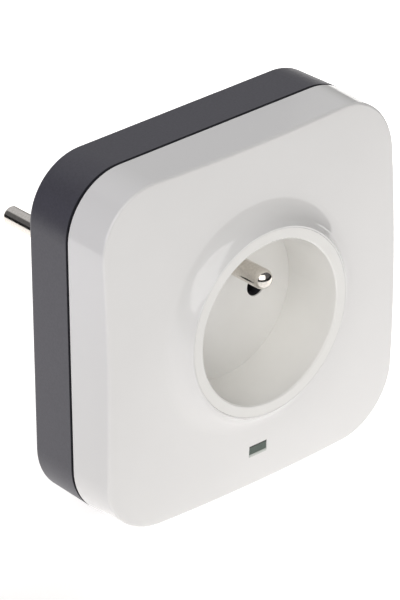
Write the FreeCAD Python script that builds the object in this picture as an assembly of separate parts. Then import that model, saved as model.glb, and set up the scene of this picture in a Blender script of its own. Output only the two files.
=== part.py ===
import FreeCAD
import Part
import math
import os
from FreeCAD import Vector

# Surge protector socket of the French pattern, in millimetres, +Z up.
# The origin is the middle of the plug's face, on the plug's axis. +Y points into the wall.

# Shell
seam_half_width = 42.85
front_draw_in = 0.4
back_draw_in = 0.4
seam_corner_radius = 14.95
front_corner_gain = 0.25
back_corner_loss = 0.55
cover_depth = 14.85
housing_depth = 13.5
crown_radius = 417.0
front_edge_round = 0.6
back_edge_round = 1.1
wall = 2.2
seam_gap = 0.8
tongue_depth = 2.2
band_depth = 3.3
tongue_thickness = 1.1
tongue_clearance = 0.15
axis_rise = 0.7

# Socket well and the collar round it
well_radius = 19.75
well_draft = 0.3
well_depth = 15.5
rim_width = 2.65
rim_inner_round = 0.45
collar_rise = 3.1
collar_clearance = 0.06
collar_land = 0.35
collar_flare_radius = 6.4
sleeve_wall = 1.8
floor_thickness = 2.4
flange_setback = 12.2
flange_thickness = 2.5
flange_width = 3.1
ear_radius = 3.4
ear_angles = (90, 210, 330)

# Plug and socket contacts
pin_radius = 2.4
pin_spacing = 19.0
plug_pin_length = 19.0
pin_tip_round = 1.0
pin_neck_radius = 2.1
pin_collar_radius = 3.4
pin_collar_thickness = 1.5
earth_offset = 10.0
front_earth_pin_length = 15.0
earth_pin_flange_radius = 4.2
earth_pin_flange_thickness = 1.4
earth_tail_radius = 2.0
contact_hole_radius = 2.65
hole_lip = 0.35
hole_lip_gap = 0.05
sleeve_bore_clearance = 0.05
contact_wall = 0.6
contact_slit = 1.0
contact_length = 8.5
contact_ring_length = 2.0
tail_width = 4.0
strip_thickness = 0.8
bar_width = 7.0
receptacle_length = 15.0
receptacle_setback = 1.4
earth_mouth_radius = 2.75

# Contact carrier, the shutter in it and the guide over it
pocket_depth = 8.0
web_thickness = 1.2
cap_thickness = 2.0
carrier_wall = 1.5
carrier_flange_thickness = 2.0
contact_room = 0.35
shutter_clearance = 0.2
shutter_overlap = 0.6
shutter_side_cover = 1.2
shutter_lip = 0.6
shutter_bar_height = 2.6
shutter_end_clearance = 0.4
guide_thickness = 0.8
guide_margin = 0.9
guide_corner = 1.5
guide_collar_wall = 0.7
guide_clearance = 0.05
spring_wire_radius = 0.25
spring_mean_radius = 1.9
spring_turns = 7
spring_side_room = 0.35
spring_seat_depth = 3.5
spring_well_depth = 3.8
spring_end_gap = 0.1

# Plug body on the back
boss_length = 17.1
boss_radius = 18.4
boss_edge_chamfer = 1.2
boss_clearance = 0.1
plug_flange_thickness = 1.8
tail_gap = 0.7
lead_room = 6.0
pedestal_draft = 1.2
pedestal_edge_round = 1.6
pedestal_foot_round = 2.0
stake_radius = 1.1
stake_head_radius = 1.9
stake_head_height = 0.9
stake_inset = 1.7

# Indicator window
window_half_width = 2.65
window_height = 2.4
window_inset = 9.5
sill_height = 0.6
lens_recess = 0.25
lens_clearance = 0.05
lens_flange_margin = 1.4
lens_flange_thickness = 1.2
light_pipe_radius = 1.9
lamp_gap = 0.5
pad_thickness = 0.5

# Board
board_clearance = 2.1
board_thickness = 1.6
board_edge_gap = 1.7
board_boss_gap = 1.1
board_opening_gap = 1.2
board_post_radius = 2.8
board_post_inset = 3.95
board_post_z = 20.0
joint_margin = 1.2
wire_hole_radius = 0.5
component_wire_radius = 0.4
component_lift = 0.6
lead_radius = 0.8
lead_bend = 2.4
lead_end_bend = 1.5
lead_board_radius = 29.5

# Parts on the board
varistor_radius = 7.0
varistor_thickness = 4.6
varistor_edge_round = 1.2
varistor_pitch = 7.5
varistor_corner_gap = 3.95
row_inset = 6.35
thermal_fuse_radius = 2.0
thermal_fuse_length = 9.0
gas_tube_radius = 4.0
gas_tube_length = 6.0
gas_tube_cap = 1.2
gas_tube_inset = 13.2
line_fuse_radius = 2.5
line_fuse_length = 20.0
line_fuse_cap = 4.5
line_fuse_edge_gap = 2.2
capacitor_width = 8.0
capacitor_length = 18.0
capacitor_height = 12.0
capacitor_pitch = 15.0
capacitor_edge_gap = 0.8
resistor_radius = 1.25
resistor_length = 6.5
resistor_insets = (2.4, 6.0)
diode_radius = 1.3
diode_length = 5.0
diode_x = 5.2
cap_rise = 0.3
end_wire = 1.8
lamp_radius = 1.5
lamp_height = 5.2
lamp_flange_radius = 1.9
lamp_flange_height = 1.0
lamp_pitch = 2.54

# Screws
housing_boss_radius = 3.8
housing_boss_inset = 10.0
housing_screw_radius = 1.5
housing_head_radius = 2.8
housing_head_height = 1.9
housing_screw_length = 16.0
counterbore_depth = 5.0
small_screw_radius = 1.1
small_head_radius = 2.1
small_head_height = 1.6
cover_bite = 5.0
board_screw_length = 8.0
cap_screw_angle = 50.0
cap_screw_length = 7.0
screw_clearance = 0.3
thread_clearance = 0.05
pilot_extra = 0.5
head_clearance = 0.5
cross_width = 0.6
cross_depth = 0.9
cross_share = 0.6
blunt_share = 0.35

# Stack along Y, from the plug's face at zero forward to the socket's rim
pedestal_end = -boss_length
end_wall_inner = pedestal_end - wall
plug_inner_face = end_wall_inner - plug_flange_thickness
bar_front = plug_inner_face - strip_thickness
cap_back = bar_front - tail_gap
carrier_back = cap_back - cap_thickness
contact_front = carrier_back - contact_length
pocket_back = contact_front - web_thickness
carrier_front = pocket_back - pocket_depth
well_floor = carrier_front - floor_thickness
rim_plane = well_floor - well_depth
front_plane = rim_plane + collar_rise
seam = front_plane + cover_depth
back_face = seam + housing_depth
flange_front = rim_plane + flange_setback
flange_back = flange_front + flange_thickness
ear_back = carrier_front + carrier_flange_thickness
board_front = ear_back + small_head_height + board_clearance
board_back = board_front + board_thickness

# Radii and places that follow from the sizes above
body_middle = -axis_rise
front_half_width = seam_half_width - front_draw_in
back_half_width = seam_half_width - back_draw_in
front_corner_radius = seam_corner_radius + front_corner_gain
back_corner_radius = seam_corner_radius - back_corner_loss
pin_offset = pin_spacing / 2
rim_outer = well_radius + rim_width
collar_bore = rim_outer + collar_clearance
flange_radius = rim_outer + flange_width
ear_circle = flange_radius + ear_radius
shutter_top = contact_hole_radius + shutter_overlap
shutter_low = -shutter_top - shutter_bar_height
shutter_travel = shutter_top + contact_hole_radius + shutter_clearance
shutter_half_width = pin_offset + contact_hole_radius + shutter_side_cover
pocket_half_width = shutter_half_width + shutter_clearance
pocket_top = shutter_top + shutter_clearance
pocket_low = shutter_low - shutter_travel - shutter_end_clearance
guide_half_width = pocket_half_width + guide_margin
guide_half_height = pocket_top + guide_margin
guide_front = carrier_front - guide_thickness
guide_collar_radius = contact_hole_radius + guide_collar_wall
lip_back = well_floor + hole_lip
carrier_radius = math.hypot(pocket_half_width, pocket_low) + carrier_wall
spring_outer = spring_mean_radius + spring_wire_radius
spring_room = spring_outer + spring_side_room
spring_low = pocket_low - spring_well_depth
spring_top = shutter_low + spring_seat_depth
shutter_middle = carrier_front + pocket_depth / 2
contact_bore = pin_radius + sleeve_bore_clearance
contact_outer = contact_bore + contact_wall
pedestal_inner = carrier_radius + lead_room
lead_circle = (carrier_radius + pedestal_inner) / 2
plug_flange_radius = lead_circle + 2 * lead_radius
stake_circle = plug_flange_radius - stake_inset - stake_radius
window_middle = body_middle - front_half_width + window_inset
housing_boss_place = seam_half_width - housing_boss_inset
board_half = seam_half_width - wall - board_edge_gap
board_notch = housing_boss_place - housing_boss_radius - board_boss_gap
board_post_x = board_half - board_post_inset
component_row = board_half - row_inset
varistor_x = board_notch - varistor_corner_gap - varistor_radius
gas_tube_x = board_notch - gas_tube_inset
line_fuse_x = board_half - line_fuse_edge_gap - line_fuse_radius
capacitor_x = capacitor_edge_gap + capacitor_width / 2 - board_half
resistor_places = [board_notch - inset for inset in resistor_insets]
counterbore_floor = back_face - counterbore_depth


def cylinder(radius, start, end, x=0.0, z=0.0):
    """A round bar along Y from start to end."""
    return Part.makeCylinder(radius, end - start, Vector(x, start, z), Vector(0, 1, 0))


def block(x_low, x_high, y_low, y_high, z_low, z_high):
    """A straight block between two corners."""
    corner = Vector(x_low, y_low, z_low)
    return Part.makeBox(x_high - x_low, y_high - y_low, z_high - z_low, corner)


def ring(outer, inner, start, end, x=0.0, z=0.0):
    """A tube along Y."""
    return cylinder(outer, start, end, x, z).cut(cylinder(inner, start, end, x, z))


def rounded_plate(half_width, half_height, corner, start, end):
    """A plate across Y with round corners, about the socket's axis."""
    plate = block(-half_width, half_width, start, end, -half_height, half_height)
    corners = [edge for edge in plate.Edges if edge.BoundBox.YLength > (end - start) / 2]
    return plate.makeFillet(corner, corners)


def segment(start, end):
    return Part.LineSegment(start, end).toShape()


def arc(start, middle, end):
    return Part.Arc(start, middle, end).toShape()


def turned(edges):
    """A solid of revolution about the socket's axis, from edges in the XY half plane."""
    face = Part.Face(Part.Wire(edges))
    return face.revolve(Vector(0, 0, 0), Vector(0, 1, 0), 360)


def rounded_square(half, corner, y):
    """A square outline with round corners, about the body's middle."""
    flat = half - corner
    bend = corner * math.sqrt(0.5)
    edges = []
    for quarter in range(4):
        turn = FreeCAD.Rotation(Vector(0, 1, 0), 90 * quarter)
        centre = Vector(flat, 0, flat)
        side = segment(Vector(-flat, 0, half), Vector(flat, 0, half))
        corner_arc = arc(Vector(flat, 0, half), centre + Vector(bend, 0, bend), Vector(half, 0, flat))
        for edge in (side, corner_arc):
            edge.Placement = FreeCAD.Placement(Vector(0, y, body_middle), turn)
            edges.append(edge)
    return Part.Wire(Part.__sortEdges__(edges))


def half_width_at(y):
    """Half width of the tapering shell at a depth."""
    if y < seam:
        share = (seam - y) / cover_depth
        return seam_half_width + (front_half_width - seam_half_width) * share
    share = (y - seam) / housing_depth
    return seam_half_width + (back_half_width - seam_half_width) * share


def corner_radius_at(y):
    if y < seam:
        share = (seam - y) / cover_depth
        return seam_corner_radius + (front_corner_radius - seam_corner_radius) * share
    share = (y - seam) / housing_depth
    return seam_corner_radius + (back_corner_radius - seam_corner_radius) * share


def shell_block(start, end, inset=0.0):
    """The shell's tapering outline between two depths, drawn in by an inset."""
    outlines = []
    for y in (start, end):
        outlines.append(rounded_square(half_width_at(y) - inset, corner_radius_at(y) - inset, y))
    return Part.makeLoft(outlines, True, True)


def corner_places(offset):
    """Four places round the body's middle, as x and z."""
    return [(x, body_middle + z) for x in (-offset, offset) for z in (-offset, offset)]


def ear_places():
    """The places of the ears that clamp the socket to the cover, as x, z and angle."""
    places = []
    for angle in ear_angles:
        x = ear_circle * math.cos(math.radians(angle))
        z = ear_circle * math.sin(math.radians(angle))
        places.append((x, z, angle))
    return places


def arm(angle, half_width, start, end):
    """A radial arm out to the ear circle at an angle from +X towards +Z."""
    bar = block(0, ear_circle, start, end, -half_width, half_width)
    bar.rotate(Vector(0, 0, 0), Vector(0, 1, 0), -angle)
    return bar


def screw(radius, head_radius, head_height, head_seat, length, x, z):
    """A pan-head screw whose point is towards the front, with a cross recess in its head."""
    tip = head_seat - length
    shank = cylinder(radius, tip, head_seat, x, z)
    point = Part.makeCone(radius * blunt_share, radius, radius, Vector(x, tip - radius, z), Vector(0, 1, 0))
    head = cylinder(head_radius, head_seat, head_seat + head_height, x, z)
    top = [edge for edge in head.Edges if edge.BoundBox.YMin > head_seat + head_height / 2]
    head = head.makeFillet(head_height / 2, top[:1])
    floor = head_seat + head_height - cross_depth
    reach = head_radius * cross_share
    half = cross_width / 2
    upright = block(x - half, x + half, floor, head_seat + head_height, z - reach, z + reach)
    level = block(x - reach, x + reach, floor, head_seat + head_height, z - half, z + half)
    return shank.fuse([point, head]).cut(upright.fuse(level)).removeSplitter()


def tube_along(points, bends, radius):
    """A round tube on straight runs joined by tangent arcs."""
    edges = []
    start = points[0]
    for index in range(1, len(points) - 1):
        corner = points[index]
        bend = bends[index - 1]
        back = (points[index - 1] - corner).normalize()
        ahead = (points[index + 1] - corner).normalize()
        half_turn = (math.pi - back.getAngle(ahead)) / 2
        tangent = bend * math.tan(half_turn)
        arc_start = corner + back * tangent
        arc_end = corner + ahead * tangent
        inward = (back + ahead).normalize()
        reach = bend / math.cos(half_turn) - bend
        edges.append(segment(start, arc_start))
        edges.append(arc(arc_start, corner + inward * reach, arc_end))
        start = arc_end
    edges.append(segment(start, points[-1]))
    heading = points[1] - points[0]
    profile = Part.Wire([Part.Circle(points[0], heading, radius).toShape()])
    return Part.Wire(edges).makePipeShell([profile], True, False)


def front_surface():
    """Everything behind the cover's front: the crown, the flare and the top of the collar."""
    crown_centre = front_plane + crown_radius
    lip = collar_bore + collar_land
    reach = math.hypot(lip, crown_centre - rim_plane)
    far = crown_radius + collar_flare_radius
    along = (reach ** 2 + far ** 2 - collar_flare_radius ** 2) / (2 * reach)
    across = math.sqrt(far ** 2 - along ** 2)
    lean = math.atan2(lip, crown_centre - rim_plane) + math.atan2(across, along)
    flare_centre = Vector(far * math.sin(lean), crown_centre - far * math.cos(lean), 0)
    foot = Vector(crown_radius * math.sin(lean), crown_centre - crown_radius * math.cos(lean), 0)
    lip_point = Vector(lip, rim_plane, 0)
    middle_way = ((lip_point - flare_centre).normalize() + (foot - flare_centre).normalize()).normalize()
    flare_middle = flare_centre + middle_way * collar_flare_radius
    edge_radius = 2 * seam_half_width
    edge_lean = math.asin(edge_radius / crown_radius)
    crown_lean = (lean + edge_lean) / 2
    crown_middle = Vector(crown_radius * math.sin(crown_lean),
                          crown_centre - crown_radius * math.cos(crown_lean), 0)
    crown_end = Vector(edge_radius, crown_centre - crown_radius * math.cos(edge_lean), 0)
    back = back_face
    return turned([
        segment(Vector(0, rim_plane, 0), lip_point),
        arc(lip_point, flare_middle, foot),
        arc(foot, crown_middle, crown_end),
        segment(crown_end, Vector(edge_radius, back, 0)),
        segment(Vector(edge_radius, back, 0), Vector(0, back, 0)),
        segment(Vector(0, back, 0), Vector(0, rim_plane, 0)),
    ])


def crown_ball(radius):
    return Part.makeSphere(radius, Vector(0, front_plane + crown_radius, 0))


def cover_cavity():
    """The hollow inside the cover."""
    outline = shell_block(front_plane, seam, wall)
    return outline.common(crown_ball(crown_radius - wall))


def window_plane():
    """Depth of the cover's outer face at the middle of the indicator window."""
    return front_plane + crown_radius - math.sqrt(crown_radius ** 2 - window_middle ** 2)


def make_front_cover():
    """White shell: crowned face, collar, skirt, bosses, sleeve for the socket, window and its pad."""
    edge_plane = seam - seam_gap / 2
    outside = shell_block(rim_plane, edge_plane).common(front_surface())
    rounded = []
    for edge in outside.Edges:
        box = edge.BoundBox
        on_rim = max(abs(box.XMin), abs(box.XMax), abs(box.ZMin), abs(box.ZMax)) > front_half_width - wall
        if on_rim and box.YMax < seam - cover_depth / 2 and box.YLength < wall:
            rounded.append(edge)
    outside = outside.makeFillet(front_edge_round, rounded)
    shell = outside.cut(cover_cavity())
    additions = [cylinder(collar_bore + sleeve_wall, front_plane, flange_front)]
    for x, z in corner_places(housing_boss_place):
        additions.append(cylinder(housing_boss_radius, front_plane, seam, x, z))
    for x, z, angle in ear_places():
        additions.append(cylinder(ear_radius, front_plane, flange_front, x, z))
    for x in (-board_post_x, board_post_x):
        for z in (-board_post_z, board_post_z):
            additions.append(cylinder(board_post_radius, front_plane, board_front, x, body_middle + z))
    pad_half = window_half_width + lens_flange_margin + wall / 2
    pad_rise = window_height / 2 + lens_flange_margin + wall / 2
    pad_plane = window_plane() + wall + pad_thickness
    additions.append(block(-pad_half, pad_half, front_plane, pad_plane,
                           window_middle - pad_rise, window_middle + pad_rise))
    inner_parts = additions[0].fuse(additions[1:]).common(crown_ball(crown_radius - wall / 2))
    shell = shell.fuse(inner_parts)
    cuts = [cylinder(collar_bore, rim_plane - wall, flange_front)]
    for x, z in corner_places(housing_boss_place):
        bottom = counterbore_floor - housing_screw_length - housing_screw_radius - pilot_extra
        cuts.append(cylinder(housing_screw_radius + thread_clearance, bottom, seam, x, z))
    for x, z, angle in ear_places():
        bottom = flange_front - cover_bite - small_screw_radius / 2
        cuts.append(cylinder(small_screw_radius + thread_clearance, bottom, flange_front, x, z))
    for x in (-board_post_x, board_post_x):
        for z in (-board_post_z, board_post_z):
            bottom = board_back - board_screw_length - small_screw_radius - pilot_extra
            cuts.append(cylinder(small_screw_radius + thread_clearance, bottom, board_front,
                                 x, body_middle + z))
    half_height = window_height / 2
    cuts.append(block(-window_half_width, window_half_width, rim_plane, pad_plane,
                      window_middle - half_height, window_middle + half_height))
    cuts.append(window_sill())
    return shell.cut(cuts).removeSplitter()


def window_sill():
    """The wedge cut below the window, from the lens out to the face."""
    bottom = window_middle - window_height / 2
    inner = window_plane() + lens_recess
    slope = lens_recess / sill_height
    outer = inner - (sill_height + wall) * slope
    corners = [
        Vector(-window_half_width, inner, bottom),
        Vector(-window_half_width, outer, bottom - sill_height - wall),
        Vector(-window_half_width, outer, bottom + window_height / 2),
        Vector(-window_half_width, inner, bottom + window_height / 2),
    ]
    face = Part.Face(Part.makePolygon(corners + corners[:1]))
    return face.extrude(Vector(2 * window_half_width, 0, 0))


def make_indicator_lens():
    """Grey-green lens in the window, with a flange behind the pad and a light pipe to the lamp."""
    pad_plane = window_plane() + wall + pad_thickness
    half_width = window_half_width - lens_clearance
    half_height = window_height / 2 - lens_clearance
    face = block(-half_width, half_width, window_plane() + lens_recess, pad_plane,
                 window_middle - half_height, window_middle + half_height)
    flange_half = window_half_width + lens_flange_margin
    flange_rise = window_height / 2 + lens_flange_margin
    flange = block(-flange_half, flange_half, pad_plane, pad_plane + lens_flange_thickness,
                   window_middle - flange_rise, window_middle + flange_rise)
    lamp_top = board_front - lamp_height
    pipe = cylinder(light_pipe_radius, pad_plane, lamp_top - lamp_gap, 0, window_middle)
    return face.fuse([flange, pipe]).removeSplitter()


def make_socket_well():
    """White insert: flat rim, drafted well, floor with three holes and the guide's seat, flange and ears."""
    floor_radius = well_radius - well_draft
    corner = rim_inner_round * (1 - math.sqrt(0.5))
    well = turned([
        segment(Vector(0, well_floor, 0), Vector(floor_radius, well_floor, 0)),
        segment(Vector(floor_radius, well_floor, 0), Vector(well_radius, rim_plane + rim_inner_round, 0)),
        arc(Vector(well_radius, rim_plane + rim_inner_round, 0),
            Vector(well_radius + corner, rim_plane + corner, 0),
            Vector(well_radius + rim_inner_round, rim_plane, 0)),
        segment(Vector(well_radius + rim_inner_round, rim_plane, 0), Vector(rim_outer, rim_plane, 0)),
        segment(Vector(rim_outer, rim_plane, 0), Vector(rim_outer, flange_front, 0)),
        segment(Vector(rim_outer, flange_front, 0), Vector(flange_radius, flange_front, 0)),
        segment(Vector(flange_radius, flange_front, 0), Vector(flange_radius, flange_back, 0)),
        segment(Vector(flange_radius, flange_back, 0), Vector(rim_outer, flange_back, 0)),
        segment(Vector(rim_outer, flange_back, 0), Vector(rim_outer, carrier_front, 0)),
        segment(Vector(rim_outer, carrier_front, 0), Vector(0, carrier_front, 0)),
        segment(Vector(0, carrier_front, 0), Vector(0, well_floor, 0)),
    ])
    hollow = cylinder(well_radius + rim_width / 2, rim_plane, carrier_front)
    cuts = []
    for x, z, angle in ear_places():
        ear = cylinder(ear_radius, flange_front, flange_back, x, z)
        ear = ear.fuse(arm(angle, ear_radius, flange_front, flange_back)).cut(hollow)
        well = well.fuse(ear)
        cuts.append(cylinder(small_screw_radius + screw_clearance, flange_front, flange_back, x, z))
    cuts.append(rounded_plate(guide_half_width + guide_clearance, guide_half_height + guide_clearance,
                              guide_corner + guide_clearance, guide_front, carrier_front))
    for x in (-pin_offset, pin_offset):
        cuts.append(cylinder(contact_hole_radius + hole_lip_gap, well_floor, carrier_front, x))
        cuts.append(cylinder(guide_collar_radius + guide_clearance, lip_back, carrier_front, x))
    cuts.append(cylinder(pin_neck_radius + thread_clearance, well_floor, carrier_front, 0, earth_offset))
    return well.cut(cuts).removeSplitter()


def make_shutter_guide():
    """Black plate in the floor's back, in front of the shutter, with a collar up into each contact hole."""
    guide = rounded_plate(guide_half_width, guide_half_height, guide_corner, guide_front, carrier_front)
    collars = [cylinder(guide_collar_radius, lip_back, carrier_front, x) for x in (-pin_offset, pin_offset)]
    bores = [cylinder(contact_hole_radius, lip_back, carrier_front, x) for x in (-pin_offset, pin_offset)]
    return guide.fuse(collars).cut(bores).removeSplitter()


def make_front_earth_pin():
    """Turned brass pin moulded into the floor, with a ball end, a flange and a tail to the earth link."""
    ball_centre = well_floor - front_earth_pin_length + pin_radius
    flange_end = carrier_front + earth_pin_flange_thickness
    pin = cylinder(pin_radius, ball_centre, well_floor, 0, earth_offset)
    neck = cylinder(pin_neck_radius, well_floor, carrier_front, 0, earth_offset)
    ball = Part.makeSphere(pin_radius, Vector(0, ball_centre, earth_offset))
    flange = cylinder(earth_pin_flange_radius, carrier_front, flange_end, 0, earth_offset)
    tail = cylinder(earth_tail_radius, flange_end, bar_front, 0, earth_offset)
    return pin.fuse([neck, ball, flange, tail]).removeSplitter()


def make_contact_carrier():
    """Insulating block behind the well: shutter pocket, spring well, contact bores and ears."""
    carrier = cylinder(carrier_radius, carrier_front, carrier_back)
    carrier = carrier.fuse(cylinder(rim_outer, carrier_front, ear_back))
    for x, z, angle in ear_places():
        ear = cylinder(ear_radius, flange_back, ear_back, x, z)
        carrier = carrier.fuse(ear)
        carrier = carrier.fuse(arm(angle, ear_radius, carrier_front, ear_back))
    keep_clear = cylinder(rim_outer + boss_clearance, flange_back, carrier_front)
    cuts = [keep_clear]
    cuts.append(block(-pocket_half_width, pocket_half_width, carrier_front, pocket_back,
                      pocket_low, pocket_top))
    cuts.append(block(-spring_room, spring_room, shutter_middle - spring_room,
                      shutter_middle + spring_room, spring_low, pocket_low))
    for x in (-pin_offset, pin_offset):
        cuts.append(cylinder(contact_hole_radius, pocket_back, contact_front, x))
        cuts.append(cylinder(contact_outer + contact_room, contact_front, carrier_back, x))
    flange_end = carrier_front + earth_pin_flange_thickness
    cuts.append(cylinder(earth_pin_flange_radius + boss_clearance, carrier_front, flange_end,
                         0, earth_offset))
    cuts.append(cylinder(earth_tail_radius + boss_clearance, flange_end, carrier_back, 0, earth_offset))
    for x, z, angle in ear_places():
        cuts.append(cylinder(small_screw_radius + screw_clearance, flange_back, ear_back, x, z))
    for x, z in cap_screw_places():
        bottom = cap_screw_seat() - cap_screw_length - small_screw_radius - pilot_extra
        cuts.append(cylinder(small_screw_radius + thread_clearance, bottom, carrier_back, x, z))
    return carrier.cut(cuts).removeSplitter()


def cap_screw_places():
    """Two screws above the contact bores, either side of the earth pin's tail."""
    place = carrier_radius - small_head_radius - carrier_wall
    angle = math.radians(cap_screw_angle)
    return [(place * math.cos(angle) * side, place * math.sin(angle)) for side in (-1, 1)]


def cap_screw_seat():
    """The heads lie in the cap, level with its back."""
    return cap_back - small_head_height


def make_carrier_cap():
    """Cover plate that keeps the contacts in the carrier."""
    cap = cylinder(carrier_radius, carrier_back, cap_back)
    cuts = [cylinder(earth_tail_radius + boss_clearance, carrier_back, cap_back, 0, earth_offset)]
    for x in (-pin_offset, pin_offset):
        half = tail_width / 2 + lens_clearance
        cuts.append(block(x - half, x + half, carrier_back, cap_back,
                          -contact_outer - lens_clearance, -contact_bore + strip_thickness))
    for x, z in cap_screw_places():
        cuts.append(cylinder(small_screw_radius + screw_clearance, carrier_back, cap_back, x, z))
        cuts.append(cylinder(small_head_radius + screw_clearance, cap_screw_seat(), cap_back, x, z))
    return cap.cut(cuts).removeSplitter()


def make_contact(side):
    """Split brass sleeve that grips a plug pin, with a tail through the cap to its busbar."""
    x = side * pin_offset
    sleeve_back = carrier_back
    sleeve = ring(contact_outer, contact_bore, contact_front, sleeve_back, x)
    slit_end = sleeve_back - contact_ring_length
    half = contact_slit / 2
    slit = block(x - half, x + half, contact_front, slit_end, -contact_outer, contact_outer)
    tail = block(x - tail_width / 2, x + tail_width / 2, slit_end, bar_front,
                 -contact_outer, -contact_outer + strip_thickness)
    hollow = cylinder(contact_bore, contact_front, sleeve_back, x)
    round_outside = cylinder(contact_outer, contact_front, bar_front, x)
    tail = tail.cut(hollow).common(round_outside)
    return sleeve.cut(slit).fuse(tail).removeSplitter()


def make_shutter():
    """Sliding bar behind both contact holes: two ramps that the plug pins push down, and a spring seat."""
    front = carrier_front + shutter_clearance
    back = pocket_back - shutter_clearance
    corners = [
        Vector(-shutter_half_width, front, -shutter_top),
        Vector(-shutter_half_width, back - shutter_lip, shutter_top),
        Vector(-shutter_half_width, back, shutter_top),
        Vector(-shutter_half_width, back, shutter_low),
        Vector(-shutter_half_width, front, shutter_low),
    ]
    face = Part.Face(Part.makePolygon(corners + corners[:1]))
    bar = face.extrude(Vector(2 * shutter_half_width, 0, 0))
    seat = Part.makeCylinder(spring_room, spring_seat_depth, Vector(0, shutter_middle, shutter_low))
    return bar.cut(seat)


def helix_point(angle, low, rise):
    x = spring_mean_radius * math.cos(angle)
    y = shutter_middle + spring_mean_radius * math.sin(angle)
    return Vector(x, y, low + rise * angle / (2 * math.pi))


def helix_heading(angle, rise):
    around = Vector(-spring_mean_radius * math.sin(angle), spring_mean_radius * math.cos(angle), 0)
    return (around + Vector(0, 0, rise / (2 * math.pi))).normalize()


def arc_from(start, control, end):
    """The arc from start to end whose tangents meet at the control point."""
    chord_middle = (start + end) * 0.5
    cosine = (start - chord_middle).Length / (start - control).Length
    return arc(start, chord_middle + (control - chord_middle) * (cosine / (1 + cosine)), end)


def biarc(start, start_heading, end, end_heading):
    """Two tangent arcs between two points with given headings."""
    chord = end - start
    headings = start_heading + end_heading
    spread = 2 * (1 - start_heading.dot(end_heading))
    along = chord.dot(headings)
    step = (math.sqrt(along ** 2 + spread * chord.dot(chord)) - along) / spread
    first = start + start_heading * step
    second = end - end_heading * step
    middle = (first + second) * 0.5
    return [arc_from(start, first, middle), arc_from(middle, second, end)]


def make_shutter_spring():
    """Compression spring under the shutter, one wire wound in open turns."""
    low = spring_low + spring_end_gap + spring_wire_radius
    high = spring_top - spring_end_gap - spring_wire_radius
    rise = (high - low) / spring_turns
    edges = []
    for quarter in range(4 * spring_turns):
        begin = quarter * math.pi / 2
        finish = begin + math.pi / 2
        edges += biarc(helix_point(begin, low, rise), helix_heading(begin, rise),
                       helix_point(finish, low, rise), helix_heading(finish, rise))
    profile = Part.Wire([Part.Circle(helix_point(0, low, rise), helix_heading(0, rise),
                                     spring_wire_radius).toShape()])
    print("spring: least gap between turns", round(rise - 2 * spring_wire_radius, 2), "mm")
    return Part.Wire(edges).makePipeShell([profile], True, False)


def make_plug_body():
    """Dark insulating boss that carries the pins, with a flange inside the housing."""
    boss = cylinder(boss_radius, plug_inner_face, 0)
    outer_edge = [edge for edge in boss.Edges if edge.BoundBox.YMin > -boss_edge_chamfer]
    boss = boss.makeChamfer(boss_edge_chamfer, outer_edge[:1])
    body = boss.fuse(cylinder(plug_flange_radius, plug_inner_face, end_wall_inner))
    cuts = []
    for x in (-pin_offset, pin_offset):
        cuts.append(cylinder(pin_neck_radius + thread_clearance, plug_inner_face, 0, x))
        collar_low, collar_high = pin_collar_span()
        cuts.append(cylinder(pin_collar_radius + thread_clearance, collar_low, collar_high, x))
    sleeve_low, sleeve_high = receptacle_span()
    cuts.append(cylinder(earth_mouth_radius, sleeve_high, 0, 0, earth_offset))
    cuts.append(cylinder(receptacle_outer() + boss_clearance, sleeve_low, sleeve_high, 0, earth_offset))
    cuts.append(cylinder(earth_tail_radius + thread_clearance, plug_inner_face, sleeve_low, 0, earth_offset))
    for x, z in stake_places():
        cuts.append(cylinder(stake_radius + thread_clearance, plug_inner_face, end_wall_inner, x, z))
    return body.cut(cuts).removeSplitter()


def pin_collar_span():
    """Start and end of the moulded-in collar on a plug pin."""
    middle = -boss_length / 2
    return middle - pin_collar_thickness / 2, middle + pin_collar_thickness / 2


def receptacle_span():
    return -receptacle_setback - receptacle_length, -receptacle_setback


def receptacle_outer():
    return contact_bore + contact_wall


def stake_places():
    """Four heat stakes on the diagonals, between the busbars."""
    reach = stake_circle * math.sqrt(0.5)
    return [(x, z) for x in (-reach, reach) for z in (-reach, reach)]


def make_plug_pin(side):
    """Solid nickelled brass plug pin, moulded into the boss and riveted to its busbar."""
    x = side * pin_offset
    pin = cylinder(pin_radius, 0, plug_pin_length, x)
    neck = cylinder(pin_neck_radius, plug_inner_face, 0, x)
    tip = [edge for edge in pin.Edges if edge.BoundBox.YMin > plug_pin_length / 2]
    pin = pin.makeFillet(pin_tip_round, tip[:1])
    collar_low, collar_high = pin_collar_span()
    collar = cylinder(pin_collar_radius, collar_low, collar_high, x)
    return pin.fuse([neck, collar]).removeSplitter()


def make_earth_receptacle():
    """Split sleeve in the boss that takes the wall outlet's earth pin, with a stem to the link."""
    low, high = receptacle_span()
    sleeve = ring(receptacle_outer(), contact_bore, low, high, 0, earth_offset)
    half = contact_slit / 2
    slit = block(-half, half, low + contact_ring_length, high,
                 earth_offset, earth_offset + receptacle_outer())
    base = cylinder(contact_bore, low, low + contact_wall, 0, earth_offset)
    stem = cylinder(earth_tail_radius, plug_inner_face, low, 0, earth_offset)
    return sleeve.cut(slit).fuse([base, stem]).removeSplitter()


def make_busbar(side):
    """Flat brass strip from a plug pin out to the lead's solder point."""
    reach = lead_circle + lead_radius
    bar = block(pin_offset - bar_width / 2, reach, bar_front, plug_inner_face, -bar_width / 2, bar_width / 2)
    if side < 0:
        bar = bar.mirror(Vector(0, 0, 0), Vector(1, 0, 0))
    return bar


def make_earth_link():
    """Brass strip that joins the front earth pin, the rear receptacle and the earth lead."""
    reach = lead_circle + lead_radius
    half = bar_width / 2
    return block(-half, half, bar_front, plug_inner_face, earth_offset - half, reach)


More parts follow.
